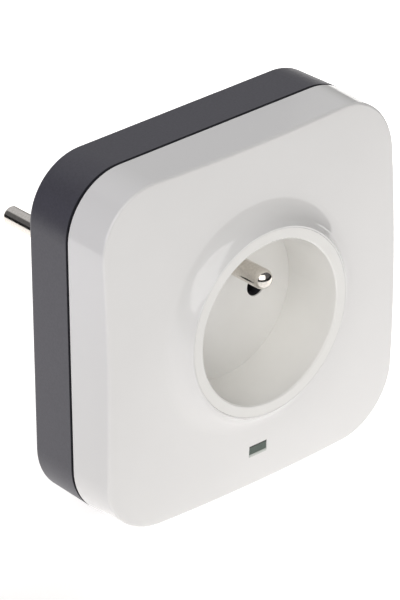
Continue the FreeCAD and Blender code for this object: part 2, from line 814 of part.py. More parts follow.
def make_lead(direction):
    """Insulated lead from a busbar round to the back of the board."""
    level = (board_back + back_face - wall) / 2
    points = [
        direction * lead_circle + Vector(0, bar_front, 0),
        direction * lead_circle + Vector(0, level, 0),
        direction * lead_board_radius + Vector(0, level, 0),
        direction * lead_board_radius + Vector(0, board_back, 0),
    ]
    return tube_along(points, (lead_bend, lead_end_bend), lead_radius)


def pedestal():
    """The raised drum on the housing's back, down to inside the back wall."""
    base = pedestal_inner + wall
    foot = base + pedestal_foot_round
    top = base - pedestal_draft
    bend = 1 - math.sqrt(0.5)
    return turned([
        segment(Vector(0, back_face - wall, 0), Vector(foot, back_face - wall, 0)),
        segment(Vector(foot, back_face - wall, 0), Vector(foot, back_face, 0)),
        arc(Vector(foot, back_face, 0),
            Vector(base + pedestal_foot_round * bend, back_face + pedestal_foot_round * bend, 0),
            Vector(base, back_face + pedestal_foot_round, 0)),
        segment(Vector(base, back_face + pedestal_foot_round, 0),
                Vector(top, pedestal_end - pedestal_edge_round, 0)),
        arc(Vector(top, pedestal_end - pedestal_edge_round, 0),
            Vector(top - pedestal_edge_round * bend, pedestal_end - pedestal_edge_round * bend, 0),
            Vector(top - pedestal_edge_round, pedestal_end, 0)),
        segment(Vector(top - pedestal_edge_round, pedestal_end, 0), Vector(0, pedestal_end, 0)),
        segment(Vector(0, pedestal_end, 0), Vector(0, back_face - wall, 0)),
    ])


def make_rear_housing():
    """Dark shell: tapering walls, tongue under the cover's skirt, posts, pedestal and heat stakes."""
    edge_plane = seam + seam_gap / 2
    outside = shell_block(edge_plane, back_face)
    rounded = [edge for edge in outside.Edges if edge.BoundBox.YMin > back_face - wall / 2]
    outside = outside.makeFillet(back_edge_round, rounded)
    hollow = shell_block(edge_plane, back_face - wall, wall)
    shell = outside.cut(hollow).fuse(pedestal())
    band_inset = wall + tongue_clearance
    band = shell_block(edge_plane, edge_plane + band_depth, wall / 2)
    tongue = shell_block(edge_plane - tongue_depth, edge_plane, band_inset)
    tongue_hollow = shell_block(edge_plane - tongue_depth, edge_plane + band_depth,
                                band_inset + tongue_thickness)
    shell = shell.fuse(band.fuse(tongue).cut(tongue_hollow))
    for x, z in corner_places(housing_boss_place):
        shell = shell.fuse(cylinder(housing_boss_radius, seam, back_face - wall / 2, x, z))
    cuts = [cylinder(pedestal_inner, back_face - 2 * wall, end_wall_inner)]
    cuts.append(cylinder(boss_radius + boss_clearance, end_wall_inner, pedestal_end))
    for x, z in corner_places(housing_boss_place):
        cuts.append(cylinder(housing_screw_radius + screw_clearance, seam, back_face, x, z))
        cuts.append(cylinder(housing_head_radius + head_clearance, counterbore_floor, back_face, x, z))
    shell = shell.cut(cuts)
    for x, z in stake_places():
        shell = shell.fuse(cylinder(stake_radius, plug_inner_face, end_wall_inner, x, z))
        head = cylinder(stake_head_radius, plug_inner_face - stake_head_height, plug_inner_face, x, z)
        rim = [edge for edge in head.Edges if edge.BoundBox.YMax < plug_inner_face - stake_head_height / 2]
        shell = shell.fuse(head.makeFillet(stake_head_height / 2, rim[:1]))
    return shell.removeSplitter()


def make_circuit_board():
    """Square board with notched corners, an opening round the carrier and holes for every wire."""
    board = block(-board_half, board_half, board_front, board_back,
                  body_middle - board_half, body_middle + board_half)
    cuts = [cylinder(carrier_radius + board_opening_gap, board_front, board_back)]
    for side in (-1, 1):
        for rise in (-1, 1):
            x_edges = sorted((side * board_notch, side * (board_half + wall)))
            z_edges = sorted((rise * board_notch, rise * (board_half + wall)))
            cuts.append(block(x_edges[0], x_edges[1], board_front, board_back,
                              body_middle + z_edges[0], body_middle + z_edges[1]))
            cuts.append(cylinder(small_screw_radius + screw_clearance, board_front, board_back,
                                 side * board_post_x, body_middle + rise * board_post_z))
    for x, z in board_wire_places():
        cuts.append(cylinder(wire_hole_radius, board_front, board_back, x, z))
    return board.cut(cuts)


def lower_row():
    return body_middle - component_row


def upper_row():
    return body_middle + component_row


def wire_pair(x, z, pitch, along):
    """Two wire places a pitch apart, along x or z."""
    half = pitch / 2
    if along == "x":
        return [(x - half, z), (x + half, z)]
    return [(x, z - half), (x, z + half)]


def varistor_wires(x, z):
    return wire_pair(x, z, varistor_pitch, "x")


def thermal_fuse_row():
    return lower_row() + varistor_thickness / 2 + component_lift + thermal_fuse_radius


def axial_pitch(length):
    return length + 2 * end_wire


def board_wire_places():
    places = []
    places += varistor_wires(-varistor_x, lower_row())
    places += varistor_wires(varistor_x, lower_row())
    places += varistor_wires(-varistor_x, upper_row())
    for side in (-1, 1):
        places += wire_pair(side * varistor_x, thermal_fuse_row(), axial_pitch(thermal_fuse_length), "x")
    places += wire_pair(gas_tube_x, upper_row(), axial_pitch(gas_tube_length), "x")
    places += wire_pair(line_fuse_x, body_middle, axial_pitch(line_fuse_length), "z")
    places += wire_pair(capacitor_x, body_middle, capacitor_pitch, "z")
    for x in resistor_places:
        places += wire_pair(x, upper_row(), axial_pitch(resistor_length), "z")
    places += wire_pair(diode_x, lower_row(), axial_pitch(diode_length), "z")
    places += wire_pair(0, window_middle, lamp_pitch, "x")
    return places


def wire_pins(places, top):
    """Straight tinned wires from a component down through the board."""
    pins = []
    for x, z in places:
        pins.append(cylinder(component_wire_radius, top, board_back + joint_margin, x, z))
    return pins


def make_varistor(x, z):
    """Epoxy-dipped disc standing on two wires."""
    centre = board_front - component_lift - varistor_radius
    disc = Part.makeCylinder(varistor_radius, varistor_thickness,
                             Vector(x, centre, z - varistor_thickness / 2), Vector(0, 0, 1))
    rims = [edge for edge in disc.Edges if edge.BoundBox.ZLength < varistor_edge_round]
    disc = disc.makeFillet(varistor_edge_round, rims)
    return disc.fuse(wire_pins(varistor_wires(x, z), centre)).removeSplitter()


def make_axial(x, z, radius, length, along, cap=0.0, rise=0.0):
    """A round component lying along x or z, with end caps if it has them and bent wires."""
    height = board_front - component_lift - radius - rise
    direction = Vector(1, 0, 0) if along == "x" else Vector(0, 0, 1)
    middle = Vector(x, height, z)
    body = Part.makeCylinder(radius, length, middle - direction * (length / 2), direction)
    pieces = []
    if cap > 0:
        for start in (-length / 2, length / 2 - cap):
            pieces.append(Part.makeCylinder(radius + rise, cap, middle + direction * start, direction))
    reach = axial_pitch(length) / 2
    for side in (-1, 1):
        outward = direction * side
        points = [
            middle + outward * (length / 2 - component_wire_radius),
            middle + outward * reach,
            middle + outward * reach + Vector(0, board_back + joint_margin - height, 0),
        ]
        pieces.append(tube_along(points, (2 * component_wire_radius,), component_wire_radius))
    return body.fuse(pieces).removeSplitter()


def make_thermal_fuses():
    """Two thermal fuses lying against the lower varistors, as separate solids."""
    fuses = []
    for side in (-1, 1):
        fuses.append(make_axial(side * varistor_x, thermal_fuse_row(), thermal_fuse_radius,
                                thermal_fuse_length, "x"))
    return Part.makeCompound(fuses)


def make_dropper_resistors():
    resistors = []
    for x in resistor_places:
        resistors.append(make_axial(x, upper_row(), resistor_radius, resistor_length, "z"))
    return Part.makeCompound(resistors)


def make_suppressor_capacitor():
    """Boxed film capacitor standing on the board."""
    top = board_front - component_lift / 2
    half_width = capacitor_width / 2
    half_length = capacitor_length / 2
    box = block(capacitor_x - half_width, capacitor_x + half_width, top - capacitor_height, top,
                body_middle - half_length, body_middle + half_length)
    wires = wire_pins(wire_pair(capacitor_x, body_middle, capacitor_pitch, "z"), top - capacitor_height / 2)
    return box.fuse(wires).removeSplitter()


def make_indicator_lamp():
    """Round lamp on the board, below the light pipe."""
    dome_centre = board_front - lamp_height + lamp_radius
    bulb = cylinder(lamp_radius, dome_centre, board_front, 0, window_middle)
    dome = Part.makeSphere(lamp_radius, Vector(0, dome_centre, window_middle))
    flange = cylinder(lamp_flange_radius, board_front - lamp_flange_height, board_front, 0, window_middle)
    wires = wire_pins(wire_pair(0, window_middle, lamp_pitch, "x"), board_front - lamp_flange_height / 2)
    return bulb.fuse([dome, flange] + wires).removeSplitter()


def make_housing_screws():
    screws = []
    for x, z in corner_places(housing_boss_place):
        screws.append(screw(housing_screw_radius, housing_head_radius, housing_head_height,
                            counterbore_floor, housing_screw_length, x, z))
    return Part.makeCompound(screws)


def make_module_screws():
    """Three screws through the carrier's and the well's ears into the cover."""
    length = ear_back - flange_front + cover_bite - small_screw_radius
    screws = []
    for x, z, angle in ear_places():
        screws.append(screw(small_screw_radius, small_head_radius, small_head_height, ear_back, length, x, z))
    return Part.makeCompound(screws)


def make_board_screws():
    screws = []
    for x in (-board_post_x, board_post_x):
        for z in (-board_post_z, board_post_z):
            screws.append(screw(small_screw_radius, small_head_radius, small_head_height,
                                board_back, board_screw_length, x, body_middle + z))
    return Part.makeCompound(screws)


def make_cap_screws():
    screws = []
    for x, z in cap_screw_places():
        screws.append(screw(small_screw_radius, small_head_radius, small_head_height,
                            cap_screw_seat(), cap_screw_length, x, z))
    return Part.makeCompound(screws)


nodes = {
    "front_cover": make_front_cover(),
    "socket_well": make_socket_well(),
    "shutter_guide": make_shutter_guide(),
    "front_earth_pin": make_front_earth_pin(),
    "indicator_lens": make_indicator_lens(),
    "rear_housing": make_rear_housing(),
    "plug_body": make_plug_body(),
    "line_pin": make_plug_pin(1),
    "neutral_pin": make_plug_pin(-1),
    "earth_receptacle": make_earth_receptacle(),
    "earth_link": make_earth_link(),
    "line_busbar": make_busbar(1),
    "neutral_busbar": make_busbar(-1),
    "line_contact": make_contact(1),
    "neutral_contact": make_contact(-1),
    "contact_carrier": make_contact_carrier(),
    "carrier_cap": make_carrier_cap(),
    "shutter": make_shutter(),
    "shutter_spring": make_shutter_spring(),
    "circuit_board": make_circuit_board(),
    "line_neutral_varistor": make_varistor(-varistor_x, lower_row()),
    "line_earth_varistor": make_varistor(varistor_x, lower_row()),
    "neutral_earth_varistor": make_varistor(-varistor_x, upper_row()),
    "thermal_fuses": make_thermal_fuses(),
    "gas_discharge_tube": make_axial(gas_tube_x, upper_row(), gas_tube_radius, gas_tube_length, "x",
                                     gas_tube_cap, cap_rise),
    "line_fuse": make_axial(line_fuse_x, body_middle, line_fuse_radius, line_fuse_length, "z",
                            line_fuse_cap, cap_rise),
    "suppressor_capacitor": make_suppressor_capacitor(),
    "dropper_resistors": make_dropper_resistors(),
    "lamp_diode": make_axial(diode_x, lower_row(), diode_radius, diode_length, "z"),
    "indicator_lamp": make_indicator_lamp(),
    "line_lead": make_lead(Vector(1, 0, 0)),
    "neutral_lead": make_lead(Vector(-1, 0, 0)),
    "earth_lead": make_lead(Vector(0, 0, 1)),
    "housing_screws": make_housing_screws(),
    "module_screws": make_module_screws(),
    "board_screws": make_board_screws(),
    "cap_screws": make_cap_screws(),
}

os.makedirs("parts", exist_ok=True)
for name, shape in nodes.items():
    shape.exportStep("parts/" + name + ".step")
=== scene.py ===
import math
import bmesh
import bpy
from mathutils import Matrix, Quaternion, Vector


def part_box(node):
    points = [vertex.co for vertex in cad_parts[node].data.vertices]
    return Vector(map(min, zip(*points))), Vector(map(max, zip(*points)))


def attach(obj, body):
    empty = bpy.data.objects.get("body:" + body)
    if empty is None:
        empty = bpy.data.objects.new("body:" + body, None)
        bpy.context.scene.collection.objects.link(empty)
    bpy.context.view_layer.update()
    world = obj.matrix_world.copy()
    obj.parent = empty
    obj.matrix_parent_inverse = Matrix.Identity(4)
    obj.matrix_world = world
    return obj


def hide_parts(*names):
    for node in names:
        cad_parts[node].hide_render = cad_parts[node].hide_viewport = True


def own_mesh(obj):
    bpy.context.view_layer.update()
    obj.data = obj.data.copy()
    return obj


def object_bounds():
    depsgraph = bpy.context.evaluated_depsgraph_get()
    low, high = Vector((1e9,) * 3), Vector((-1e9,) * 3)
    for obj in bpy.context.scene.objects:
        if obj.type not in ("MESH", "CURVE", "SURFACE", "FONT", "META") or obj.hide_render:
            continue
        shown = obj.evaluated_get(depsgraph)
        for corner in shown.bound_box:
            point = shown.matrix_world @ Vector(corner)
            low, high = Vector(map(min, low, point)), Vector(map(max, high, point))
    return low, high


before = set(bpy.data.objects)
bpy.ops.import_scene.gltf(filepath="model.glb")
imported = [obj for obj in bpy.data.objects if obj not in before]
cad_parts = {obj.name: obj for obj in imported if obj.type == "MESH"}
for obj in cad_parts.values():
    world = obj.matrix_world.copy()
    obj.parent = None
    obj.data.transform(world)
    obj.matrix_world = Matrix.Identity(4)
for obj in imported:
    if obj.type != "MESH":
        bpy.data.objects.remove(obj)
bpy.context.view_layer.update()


# White cover: the crowned front shell with the collar round the socket and the skirt.
# Injection moulded in white ABS from a polished tool, held by four screws from behind.
mm = 0.001


def linear(code):
    """An sRGB hex colour as Blender's linear one."""
    channels = [int(code[start:start + 2], 16) / 255 for start in (1, 3, 5)]
    lit = [c / 12.92 if c <= 0.04045 else ((c + 0.055) / 1.055) ** 2.4 for c in channels]
    return (*lit, 1.0)


def link(owner, source, target):
    """Links an output to an input, in a material or in the world."""
    owner.node_tree.links.new(source, target)


def add_node(owner, kind, inputs=(), **settings):
    """Adds a node with its settings. Each input takes a value, or a socket to link to it."""
    node = owner.node_tree.nodes.new(kind)
    for name, value in settings.items():
        setattr(node, name, value)
    for name, value in dict(inputs).items():
        if isinstance(value, bpy.types.NodeSocket):
            link(owner, value, node.inputs[name])
        else:
            node.inputs[name].default_value = value
    return node


def new_material(name, inputs):
    """A material with one Principled shader and the part's own coordinates."""
    material = bpy.data.materials.new(name)
    material.use_nodes = True
    material.node_tree.nodes.clear()
    shader = add_node(material, "ShaderNodeBsdfPrincipled", inputs)
    add_node(material, "ShaderNodeOutputMaterial", {"Surface": shader.outputs["BSDF"]})
    add_node(material, "ShaderNodeTexCoord", name="place")
    return material, shader


def place_of(material):
    """Where a point lies on the part itself, in metres."""
    return material.node_tree.nodes["place"].outputs["Object"]


def tint(material, shader, low, high, size, detail=2.0):
    """Drifts the base colour between two near tones, in patches of a size in metres."""
    noise = add_node(material, "ShaderNodeTexNoise",
                     {"Vector": place_of(material), "Scale": 1 / size, "Detail": detail})
    ramp = add_node(material, "ShaderNodeValToRGB", {"Fac": noise.outputs["Fac"]})
    for element, position, code in zip(ramp.color_ramp.elements, (0.35, 0.65), (low, high)):
        element.position = position
        element.color = linear(code)
    link(material, ramp.outputs["Color"], shader.inputs["Base Color"])


def grain(material, shader, size, height, detail=3.0):
    """Raises a fine grain of a size and a height in metres."""
    noise = add_node(material, "ShaderNodeTexNoise",
                     {"Vector": place_of(material), "Scale": 1 / size, "Detail": detail})
    bump = add_node(material, "ShaderNodeBump",
                    {"Height": noise.outputs["Fac"], "Distance": height})
    link(material, bump.outputs["Normal"], shader.inputs["Normal"])


def recolour(material, shader, mask, code):
    """Turns the base colour to another one where a mask is 1."""
    base_colour = shader.inputs["Base Color"].links[0].from_socket
    mix = add_node(material, "ShaderNodeMix", {"Factor": mask, 6: base_colour, 7: linear(code)},
                   data_type="RGBA")
    link(material, mix.outputs[2], shader.inputs["Base Color"])


def finish_nodes(names, material):
    """Gives the CAD nodes their material."""
    for name in names:
        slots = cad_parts[name].data.materials
        slots.clear()
        slots.append(material)


# ABS from a polished tool: clear soft reflections over a faint flow waviness, 6 mm long.
white_abs, shader = new_material("white_abs_polished", {"IOR": 1.54, "Roughness": 0.07})
tint(white_abs, shader, "#EDECEB", "#EFEEED", size=25 * mm)
grain(white_abs, shader, size=6 * mm, height=0.004 * mm, detail=1.0)
# A painted reflection: the sloping sill under the indicator window is coloured a darker grey, as
# if it mirrored the dark lens above it. The window's edges lie 1.4 mm inside the flange of the
# lens, with 0.05 mm of room.
lens_low, lens_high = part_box("indicator_lens")
lens_flange = 1.4 * mm
sill_half_width, sill_half_height = 2.65 * mm, 0.3 * mm
sill_middle = lens_low.z + lens_flange - sill_half_height
on_cover = add_node(white_abs, "ShaderNodeSeparateXYZ", {"Vector": place_of(white_abs)}).outputs
across_sill = add_node(white_abs, "ShaderNodeMath",
                       {0: on_cover["X"], 1: 0.0, 2: sill_half_width}, operation="COMPARE")
down_sill = add_node(white_abs, "ShaderNodeMath",
                     {0: on_cover["Z"], 1: sill_middle, 2: sill_half_height},
                     operation="COMPARE")
sill_painted_reflection = add_node(white_abs, "ShaderNodeMath",
                   {0: across_sill.outputs[0], 1: down_sill.outputs[0]}, operation="MULTIPLY")
recolour(white_abs, shader, sill_painted_reflection.outputs[0], "#D3D6D2")
finish_nodes(["front_cover"], white_abs)


# Socket well: a separate white insert with the flat rim, the drafted well and its floor.
# Moulded in urea, a little warmer and duller than the cover, and screwed in from behind.
urea, shader = new_material("white_urea_satin", {"IOR": 1.56, "Roughness": 0.18})
tint(urea, shader, "#F1F0ED", "#F4F3F0", size=12 * mm)
grain(urea, shader, size=0.9 * mm, height=0.0008 * mm)
finish_nodes(["socket_well"], urea)


# Earth pin and plug pins: turned brass, nickel plated. The lathe leaves rings round each pin,
# 0.12 mm apart on the real one and drawn 0.35 mm apart here, so that they show.
nickel, shader = new_material("nickel_plate_turned", {"Metallic": 1.0, "Roughness": 0.13})
tint(nickel, shader, "#DDD8D1", "#EAE5DE", size=0.5 * mm, detail=4.0)
ring_spacing = 0.35 * mm
# At a scale of 1, the wave texture repeats after 0.314 m.
wave_length = 0.314
lathe_rings = add_node(nickel, "ShaderNodeTexWave",
                       {"Vector": place_of(nickel), "Scale": wave_length / ring_spacing,
                        "Distortion": 0.6},
                       wave_type="BANDS", bands_direction="Y")
bump = add_node(nickel, "ShaderNodeBump",
                {"Height": lathe_rings.outputs["Fac"], "Distance": 0.0015 * mm})
link(nickel, bump.outputs["Normal"], shader.inputs["Normal"])
finish_nodes(["front_earth_pin", "line_pin", "neutral_pin"], nickel)


# Indicator lens: a small grey-green window with a light pipe behind it, dark while the lamp
# is off. Moulded in smoked polycarbonate and pressed into its pad from behind.
smoked_lens, shader = new_material("smoked_polycarbonate", {"IOR": 1.58, "Roughness": 0.22})
tint(smoked_lens, shader, "#405047", "#4B5B51", size=2 * mm)
# The window's upper lip shades the top 0.8 mm of the lens, fully from half-way up.
window_top = lens_high.z - lens_flange
shade_start, shade_full = window_top - 0.8 * mm, window_top - 0.4 * mm
on_lens = add_node(smoked_lens, "ShaderNodeSeparateXYZ", {"Vector": place_of(smoked_lens)}).outputs
lip_shade = add_node(smoked_lens, "ShaderNodeMapRange",
                     {"Value": on_lens["Z"], "From Min": shade_start, "From Max": shade_full})
recolour(smoked_lens, shader, lip_shade.outputs["Result"], "#161D19")
finish_nodes(["indicator_lens"], smoked_lens)


# Rear housing: the dark shell with the pedestal and the screw wells, behind the seam.
# Moulded in grey ABS from a spark-eroded tool. That leaves a fine dull grain, about 0.2 mm
# on the real one and drawn 0.45 mm here, so that it shows.
grey_abs, shader = new_material("grey_abs_eroded", {"IOR": 1.54, "Roughness": 0.42})
tint(grey_abs, shader, "#47464E", "#4D4C55", size=0.5 * mm)
grain(grey_abs, shader, size=0.45 * mm, height=0.012 * mm)
# In the seam, in front of the housing's edge, painted shade turns the step nearly black.
# The edge's own face belongs to the seam, so the painted shade starts a little behind that face.
housing_edge, spare = -41.85 * mm, 0.05 * mm
on_shell = add_node(grey_abs, "ShaderNodeSeparateXYZ", {"Vector": place_of(grey_abs)}).outputs
seam_painted_shade = add_node(grey_abs, "ShaderNodeMath", {0: on_shell["Y"], 1: housing_edge + spare},
                   operation="LESS_THAN")
recolour(grey_abs, shader, seam_painted_shade.outputs[0], "#303036")
finish_nodes(["rear_housing"], grey_abs)


# Plug body: the insulating drum that carries the plug's contacts, staked into the housing.
# Moulded in glass-filled nylon, whose fibres leave the surface matt.
grey_nylon, shader = new_material("grey_nylon_matt", {"IOR": 1.53, "Roughness": 0.5})
tint(grey_nylon, shader, "#434348", "#4A4A50", size=1.5 * mm)
grain(grey_nylon, shader, size=0.6 * mm, height=0.015 * mm)
finish_nodes(["plug_body"], grey_nylon)


# Current path: sleeves, busbars and the earth link, cut and bent from brass strip.
# Rolling leaves the strip with faint streaks, drawn 0.3 mm apart and twenty times as long.
brass, shader = new_material("rolled_brass", {"Metallic": 1.0, "Roughness": 0.3})
tint(brass, shader, "#CFA95C", "#DDBB70", size=4 * mm)
streak_spacing, stretch = 0.3 * mm, 20
drawn_out = add_node(brass, "ShaderNodeMapping",
                     {"Vector": place_of(brass), "Scale": (1.0, 1 / stretch, 1.0)})
streaks = add_node(brass, "ShaderNodeTexNoise",
                   {"Vector": drawn_out.outputs["Vector"], "Scale": 1 / streak_spacing})
bump = add_node(brass, "ShaderNodeBump",
                {"Height": streaks.outputs["Fac"], "Distance": 0.004 * mm})
link(brass, bump.outputs["Normal"], shader.inputs["Normal"])
finish_nodes(["earth_receptacle", "earth_link", "line_busbar", "neutral_busbar",
              "line_contact", "neutral_contact"], brass)


# Contact carrier, its cap and the shutter guide: black blocks that screws clamp behind the
# well. Moulded in glass-filled polyamide, where the glass shows as a dull mottle of 1 mm.
carrier_nylon, shader = new_material("black_glass_filled_nylon", {"IOR": 1.53, "Roughness": 0.55})
tint(carrier_nylon, shader, "#26262A", "#303034", size=1 * mm)
grain(carrier_nylon, shader, size=0.5 * mm, height=0.012 * mm)
finish_nodes(["contact_carrier", "carrier_cap", "shutter_guide"], carrier_nylon)


# Shutter: the black sliding bar behind the contact holes, moulded smooth in acetal.
# It slides down on its spring when a plug's pins push on its ramps.
acetal, shader = new_material("black_acetal", {"IOR": 1.48, "Roughness": 0.35})
tint(acetal, shader, "#0E0E10", "#141416", size=3 * mm)
grain(acetal, shader, size=0.8 * mm, height=0.003 * mm)
finish_nodes(["shutter"], acetal)


# Shutter spring: hard-drawn steel wire, 0.5 mm thick, in seven open turns, with the fine marks
# of the drawing die. It stands for the CAD spring.
spring_steel, shader = new_material("drawn_spring_steel", {"Metallic": 1.0, "Roughness": 0.28})
tint(spring_steel, shader, "#A9A9AB", "#BDBDBF", size=0.6 * mm)
grain(spring_steel, shader, size=0.3 * mm, height=0.003 * mm)
coil_low, coil_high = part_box("shutter_spring")
coil_middle = (coil_low + coil_high) / 2
wire_radius = 0.25 * mm
coil_radius = (coil_high.x - coil_low.x) / 2 - wire_radius
coil_turns, turn_steps, wire_sides = 7, 32, 12
rise = (coil_high.z - coil_low.z - 2 * wire_radius) / coil_turns
slope = rise / (2 * math.pi * coil_radius)
coil_mesh = bpy.data.meshes.new("shutter_spring_coil")
shape = bmesh.new()
wire_rings = []
for step in range(coil_turns * turn_steps + 1):
    angle = 2 * math.pi * step / turn_steps
    outward = Vector((math.cos(angle), math.sin(angle), 0))
    heading = Vector((-math.sin(angle), math.cos(angle), slope)).normalized()
    centre = coil_middle + coil_radius * outward
    centre.z = coil_low.z + wire_radius + rise * step / turn_steps
    spokes = [Quaternion(heading, 2 * math.pi * side / wire_sides) @ outward
              for side in range(wire_sides)]
    wire_rings.append([shape.verts.new(centre + wire_radius * spoke) for spoke in spokes])
for ring, following in zip(wire_rings, wire_rings[1:]):
    for side in range(wire_sides):
        after = (side + 1) % wire_sides
        corners = (ring[side], ring[after], following[after], following[side])
        shape.faces.new(corners).smooth = True
shape.faces.new(reversed(wire_rings[0]))
shape.faces.new(wire_rings[-1])
shape.to_mesh(coil_mesh)
shape.free()
coil_mesh.materials.append(spring_steel)
coil = bpy.data.objects.new("shutter_spring_coil", coil_mesh)
bpy.context.scene.collection.objects.link(coil)
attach(coil, "body")
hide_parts("shutter_spring")
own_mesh(coil)


# Circuit board: glass epoxy under green solder mask, on four posts. The weave of the glass
# cloth shows through as a fine check, 0.5 mm on the real board.
board, shader = new_material("green_solder_mask", {"IOR": 1.5, "Roughness": 0.3})
tint(board, shader, "#1C5A33", "#226640", size=6 * mm)
thread_spacing = 0.5 * mm
weave = add_node(board, "ShaderNodeTexChecker",
                 {"Vector": place_of(board), "Scale": 1 / thread_spacing})
bump = add_node(board, "ShaderNodeBump",
                {"Height": weave.outputs["Fac"], "Distance": 0.004 * mm})
link(board, bump.outputs["Normal"], shader.inputs["Normal"])
finish_nodes(["circuit_board"], board)


# Varistors: zinc oxide discs dipped in blue epoxy, which dries glossy with a slight ripple.
# Their tinned wires leave the epoxy a little in front of the board, as on the parts after
# them. From that level to the board the finish turns from the body's to bright tin.
board_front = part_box("circuit_board")[0].y


def tin_wires(material, shader, stand_off):
    """Turns the finish to tinned wire from a stand-off in front of the board, in metres."""
    depth = add_node(material, "ShaderNodeSeparateXYZ",
                     {"Vector": place_of(material)}).outputs["Y"]
    wire = add_node(material, "ShaderNodeMath", {0: depth, 1: board_front - stand_off},
                    operation="GREATER_THAN").outputs[0]
    recolour(material, shader, wire, "#C4C5C6")
    link(material, wire, shader.inputs["Metallic"])


blue_epoxy, shader = new_material("blue_dipped_epoxy", {"IOR": 1.55, "Roughness": 0.2})
tint(blue_epoxy, shader, "#1C4488", "#214C94", size=3 * mm)
grain(blue_epoxy, shader, size=2 * mm, height=0.05 * mm)
tin_wires(blue_epoxy, shader, stand_off=0.5 * mm)
finish_nodes(["line_neutral_varistor", "line_earth_varistor", "neutral_earth_varistor"],
             blue_epoxy)


# Thermal fuses: small metal shells on tinned wires, one against each lower varistor.
# Coated in cream resin, which sets with a dull sheen.
cream_resin, shader = new_material("cream_resin", {"IOR": 1.55, "Roughness": 0.4})
tint(cream_resin, shader, "#D8D2BF", "#E2DCCB", size=2 * mm)
grain(cream_resin, shader, size=0.7 * mm, height=0.01 * mm)
tin_wires(cream_resin, shader, stand_off=0.5 * mm)
finish_nodes(["thermal_fuses"], cream_resin)


# Gas discharge tube: a white ceramic ring between two nickelled end caps, brazed gas-tight.
# The ceramic is glazed, so it shines.
def middle_of(name):
    """The middle of a CAD node's box."""
    low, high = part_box(name)
    return (low + high) / 2


def metal_ends(material, shader, middle, reach, axis):
    """Turns the finish to nickelled caps further than a reach from the middle along an axis."""
    along = add_node(material, "ShaderNodeSeparateXYZ",
                     {"Vector": place_of(material)}).outputs[axis]
    offset = add_node(material, "ShaderNodeMath", {0: along, 1: middle},
                      operation="SUBTRACT").outputs[0]
    distance = add_node(material, "ShaderNodeMath", {0: offset}, operation="ABSOLUTE").outputs[0]
    cap = add_node(material, "ShaderNodeMath", {0: distance, 1: reach},
                   operation="GREATER_THAN").outputs[0]
    recolour(material, shader, cap, "#C9C4B8")
    link(material, cap, shader.inputs["Metallic"])


glazed_ceramic, shader = new_material("glazed_ceramic", {"IOR": 1.6, "Roughness": 0.18})
tint(glazed_ceramic, shader, "#E4E2DE", "#ECEAE6", size=2 * mm)
metal_ends(glazed_ceramic, shader, middle_of("gas_discharge_tube").x, reach=1.8 * mm, axis="X")
finish_nodes(["gas_discharge_tube"], glazed_ceramic)


# Line fuse: a ceramic tube, 5 by 20 mm, with nickelled caps and wires soldered to them.
# The ceramic is fired without a glaze, so it looks chalky.
fuse_ceramic, shader = new_material("fired_ceramic", {"IOR": 1.6, "Roughness": 0.5})
tint(fuse_ceramic, shader, "#E2DFD6", "#EBE8E0", size=1.5 * mm)
grain(fuse_ceramic, shader, size=0.5 * mm, height=0.006 * mm)
metal_ends(fuse_ceramic, shader, middle_of("line_fuse").z, reach=5.5 * mm, axis="Z")
finish_nodes(["line_fuse"], fuse_ceramic)


# Suppressor capacitor: polypropylene film potted in a moulded box, on two tinned wires.
# The box is yellow, with the faint sheen of a smooth tool.
yellow_box, shader = new_material("yellow_moulded_box", {"IOR": 1.5, "Roughness": 0.38})
tint(yellow_box, shader, "#D2A62A", "#DBB033", size=4 * mm)
grain(yellow_box, shader, size=0.8 * mm, height=0.006 * mm)
tin_wires(yellow_box, shader, stand_off=0)
finish_nodes(["suppressor_capacitor"], yellow_box)


# Dropper resistors: carbon film rods in tan lacquer, which dries with a low gloss, and four
# painted bands about 0.7 mm wide. The bands are a value code that every such resistor has.
def painted_bands(material, shader, bottom, top, bands):
    """Paints the height from bottom to top. Each band starts at its share of the way.

    A new ramp has two elements already, so the first two bands take those.
    """
    height = add_node(material, "ShaderNodeSeparateXYZ",
                      {"Vector": place_of(material)}).outputs["Z"]
    share = add_node(material, "ShaderNodeMapRange",
                     {"Value": height, "From Min": bottom, "From Max": top}).outputs["Result"]
    paint = add_node(material, "ShaderNodeValToRGB", {"Fac": share})
    paint.color_ramp.interpolation = "CONSTANT"
    for start, _ in bands[2:]:
        paint.color_ramp.elements.new(start)
    for element, (start, code) in zip(paint.color_ramp.elements, bands):
        element.position = start
        element.color = linear(code)
    link(material, paint.outputs["Color"], shader.inputs["Base Color"])


lacquer, shader = new_material("tan_lacquer", {"IOR": 1.5, "Roughness": 0.35})
resistors_low, resistors_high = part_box("dropper_resistors")
tan, brown, black, red, gold = "#C9A877", "#7A3B1E", "#16161A", "#B8471F", "#B8923A"
painted_bands(lacquer, shader, resistors_low.z, resistors_high.z,
              [(0.0, tan), (0.30, brown), (0.37, tan), (0.44, black), (0.51, tan),
               (0.57, red), (0.64, tan), (0.68, gold), (0.74, tan)])
tin_wires(lacquer, shader, stand_off=0.3 * mm)
finish_nodes(["dropper_resistors"], lacquer)


# Lamp diode: a silicon junction moulded into black epoxy, 5 mm long, on tinned wires.
# The epoxy is dull, and a painted silver band marks its upper end.
moulded_black, shader = new_material("black_moulded_epoxy", {"IOR": 1.55, "Roughness": 0.45})
diode_middle, diode_half_length = middle_of("lamp_diode").z, 2.5 * mm
painted_bands(moulded_black, shader,
              diode_middle - diode_half_length, diode_middle + diode_half_length,
              [(0.0, "#131314"), (0.7, "#B9BABC"), (0.85, "#131314")])
tin_wires(moulded_black, shader, stand_off=0.3 * mm)
finish_nodes(["lamp_diode"], moulded_black)


